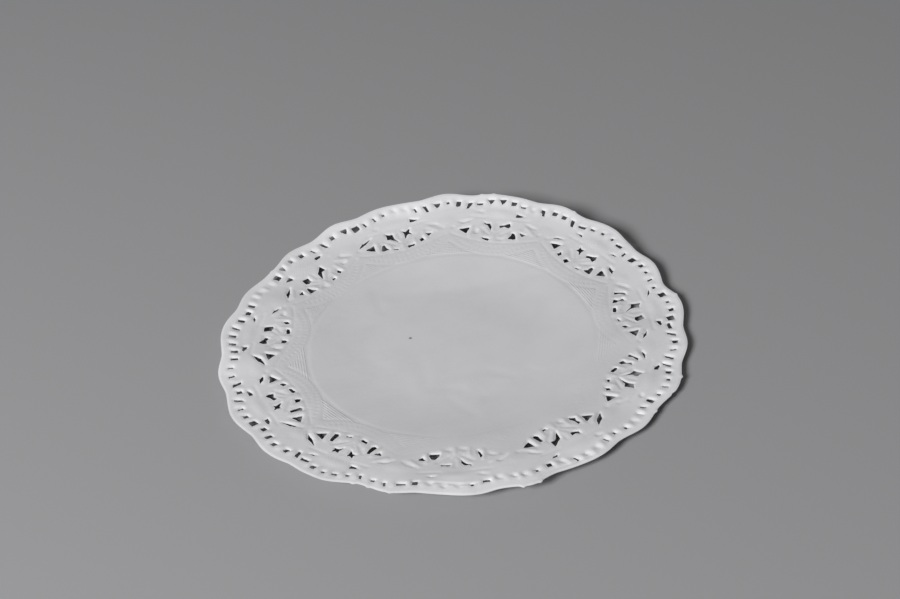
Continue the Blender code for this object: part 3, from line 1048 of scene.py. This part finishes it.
def raised_work(tree, in_motif, in_gap):
    """The netting of the lens and the kite, and the hatching of the fan."""
    lens = net_in(tree, in_motif, LENS_MIDDLE, LENS_HALF)
    kite = net_in(tree, in_gap, KITE_MIDDLE, KITE_HALF)
    gap = parts(tree, in_gap)
    lines = hatching(tree, gap["X"], gap["Y"])
    hatch = maths(tree, "MULTIPLY", lines, fan(tree, gap["X"], gap["Y"]))
    hatch = maths(tree, "MULTIPLY", hatch, HATCH_SHARE)
    return maths(tree, "MULTIPLY_ADD", maths(tree, "MAXIMUM", lens, kite), NET_SHARE, hatch)


def cut_lips(tree, from_hole, from_edge):
    """1 at the lips of the holes and on the rolled edge of the sheet."""
    outside = smooth(tree, from_hole, *LIP_OUTSIDE)
    inside = smooth(tree, from_hole, *LIP_INSIDE)
    rolled = smooth(tree, from_edge, *ROLLED_EDGE)
    return maths(tree, "MAXIMUM", maths(tree, "MULTIPLY", outside, inside), rolled)


def lightening(tree, value, start, full, share):
    """How much lighter the colour is by one of the two tones."""
    return maths(tree, "MULTIPLY", smooth(tree, value, start, full), share)


def relief_group():
    """The press's fine work: raised netting and hatching, sunk swag, lips and rolled edge."""
    inputs = [(name, "NodeSocketVector") for name in ("Motif", "Gap", "Place")]
    tree, start, end = new_group("lace_relief", inputs, ["Height", "LighterTone", "EdgeWhiteAndHighlight"])
    motif = parts(tree, start["Motif"])
    from_edge = parts(tree, start["Gap"])["Z"]
    patches = smooth(tree, noise(tree, start["Motif"], **PATCHES), *PATCH_SPAN)
    kept = left_by_wear_mask(tree, start["Place"])

    fine = maths(tree, "MULTIPLY", raised_work(tree, start["Motif"], start["Gap"]), patches)
    fine_kept = maths(tree, "MULTIPLY_ADD", kept, 1 - FINE_LEAST, FINE_LEAST)
    fine = maths(tree, "MULTIPLY", fine, fine_kept)

    flat = vector_maths(tree, "MULTIPLY", start["Motif"], (1.0, 1.0, 0.0))
    pressed = maths(tree, "MULTIPLY", swag(tree, flat, motif["X"], motif["Y"]), patches)
    pressed = maths(tree, "MULTIPLY", maths(tree, "MULTIPLY", pressed, kept), SWAG_SHARE)
    # The lips and the rolled edge: sunk in the relief, and lighter in colour, partly the white of cut
    # paper and partly a painted highlight
    bold = cut_lips(tree, motif["Z"], from_edge)
    sunk = maths(tree, "MAXIMUM", maths(tree, "MULTIPLY", bold, BOLD_SHARE), pressed)

    in_lace = lightening(tree, motif["Y"], *LACE_TONE)
    at_rim = lightening(tree, from_edge, *RIM_TONE)
    tree.links.new(maths(tree, "SUBTRACT", fine, sunk), end["Height"])
    tree.links.new(maths(tree, "ADD", in_lace, at_rim), end["LighterTone"])
    tree.links.new(bold, end["EdgeWhiteAndHighlight"])
    return tree


def mixed(tree, factor, first, second):
    """Two colours mixed. A Mix node's inputs 6 and 7 and its output 2 are its colours."""
    made = add_node(tree, "ShaderNodeMix", {0: factor, 6: first, 7: second}, data_type="RGBA")
    return made.outputs[2]


def new_material(name):
    material = bpy.data.materials.new(name)
    material.use_nodes = True
    tree = material.node_tree
    return material, tree, tree.nodes["Principled BSDF"].inputs


def paper_stock(tree, shader, fibre, place, look):
    """Places the fibre group and its grain; gives its cloudy tone and the grained normal."""
    shader["Specular IOR Level"].default_value = look["specular"]
    fed = {"Place": place, "Creases": look["creases"]}
    stock = add_node(tree, "ShaderNodeGroup", fed, node_tree=fibre).outputs
    smoothest, dullest = look["roughness"]
    span = {"Value": stock["Tone"], "To Min": smoothest, "To Max": dullest}
    dull = add_node(tree, "ShaderNodeMapRange", span)
    tree.links.new(dull.outputs["Result"], shader["Roughness"])
    grain = {"Height": stock["Height"], "Distance": GRAIN_DEPTH, "Strength": GRAIN_STRENGTH}
    grained = add_node(tree, "ShaderNodeBump", grain)
    return smooth(tree, stock["Tone"], *look["clouds"]), grained.outputs["Normal"]


def speck(tree, place):
    """1 on the one dark speck in the pulp."""
    return smooth(tree, vector_maths(tree, "DISTANCE", place, SPECK_PLACE), SPECK_RADIUS, 0.0)


def point_attribute(tree, name):
    return add_node(tree, "ShaderNodeAttribute", attribute_name=name).outputs["Vector"]


def embossed_paper(name, fibre, relief, raised, look):
    """White paper, pressed. The relief is raised on its face and sunk on its back."""
    material, tree, shader = new_material(name)
    place = add_node(tree, "ShaderNodeTexCoord").outputs["Object"]
    cloudy, grained = paper_stock(tree, shader, fibre, place, look)
    motif = point_attribute(tree, "in_motif")
    gap = point_attribute(tree, "in_gap")
    frames = {"Motif": motif, "Gap": gap, "Place": place}
    pressed = add_node(tree, "ShaderNodeGroup", frames, node_tree=relief)
    # From the middle's colour to a lighter one in the lace and towards the rim
    clean = mixed(tree, pressed.outputs["LighterTone"], MIDDLE_PAPER, LACE_PAPER)
    # Lighter along the lips of the holes and the rolled edge: partly the white of cut paper, partly a
    # painted highlight
    with_edge_highlight = mixed(tree, pressed.outputs["EdgeWhiteAndHighlight"], clean, EDGE_WHITE_AND_HIGHLIGHT)
    colour = mixed(tree, cloudy, SHADED_PAPER, with_edge_highlight)
    if raised:
        colour = mixed(tree, speck(tree, place), colour, SPECK)
    tree.links.new(colour, shader["Base Color"])
    carving = {"Height": pressed.outputs["Height"], "Distance": RELIEF_DEPTH, "Normal": grained}
    carved = add_node(tree, "ShaderNodeBump", carving, invert=not raised)
    tree.links.new(carved.outputs["Normal"], shader["Normal"])
    return material


def cut_edge(fibre):
    """The torn-looking white edge that the punch leaves."""
    material, tree, shader = new_material("cut_paper_edge")
    place = add_node(tree, "ShaderNodeTexCoord").outputs["Object"]
    cloudy, grained = paper_stock(tree, shader, fibre, place, EDGE_LOOK)
    tree.links.new(mixed(tree, cloudy, SHADED_PAPER, EDGE_WHITE_AND_HIGHLIGHT), shader["Base Color"])
    tree.links.new(grained, shader["Normal"])
    return material


def paper_materials():
    """In the order of the sheet's faces: face, back, cut edges."""
    fibre = fibre_group()
    relief = relief_group()
    return (
        embossed_paper("embossed_paper_face", fibre, relief, raised=True, look=FACE_LOOK),
        embossed_paper("embossed_paper_back", fibre, relief, raised=False, look=BACK_LOOK),
        cut_edge(fibre),
    )


def floor_material():
    material, _, shader = new_material("pale_floor")
    shader["Base Color"].default_value = FLOOR_COLOUR
    shader["Roughness"].default_value = FLOOR_ROUGHNESS
    return material


# ---- floor, lights, camera ----


def floor():
    bm = bmesh.new()
    bmesh.ops.create_grid(bm, x_segments=1, y_segments=1, size=FLOOR_REACH)
    made = new_object("floor", bm)
    made.data.materials.append(floor_material())


def area_light(name, place, size, power):
    """A rectangle that shines towards the doily's middle."""
    light = bpy.data.lights.new(name, "AREA")
    light.shape = "RECTANGLE"
    light.size, light.size_y = size
    light.energy = power
    made = bpy.data.objects.new(name, light)
    bpy.context.collection.objects.link(made)
    made.location = place
    made.rotation_euler = (LIGHT_AIM - Vector(place)).to_track_quat("-Z", "Y").to_euler()


def lights():
    area_light("window", **WINDOW)
    area_light("ceiling", **CEILING)
    world = bpy.data.worlds.new("room")
    bpy.context.scene.world = world
    world.use_nodes = True
    room = world.node_tree.nodes["Background"].inputs
    room["Color"].default_value = ROOM_COLOUR
    room["Strength"].default_value = ROOM_LIGHT
    bpy.context.scene.view_settings.view_transform = "Standard"


def camera():
    """Looks down at the doily, so that its middle stands at DOILY_PIXEL of the image."""
    data = bpy.data.cameras.new("camera")
    data.lens = CAMERA_LENS
    data.sensor_width = SENSOR
    data.clip_start = NEAREST_SEEN
    made = bpy.data.objects.new("camera", data)
    bpy.context.collection.objects.link(made)
    tilt = Matrix.Rotation(pi / 2 - CAMERA_ELEVATION, 3, "X")
    turn = tilt @ Matrix.Rotation(-CAMERA_ROLL, 3, "Z")
    across = (DOILY_PIXEL - IMAGE / 2) * (CAMERA_DISTANCE * SENSOR / CAMERA_LENS / IMAGE.x)
    seen = Vector((across.x, -across.y, -CAMERA_DISTANCE))
    made.matrix_world = Matrix.Translation(turn @ -seen * MM) @ turn.to_4x4()
    bpy.context.scene.camera = made


doily()
floor()
lights()
camera()
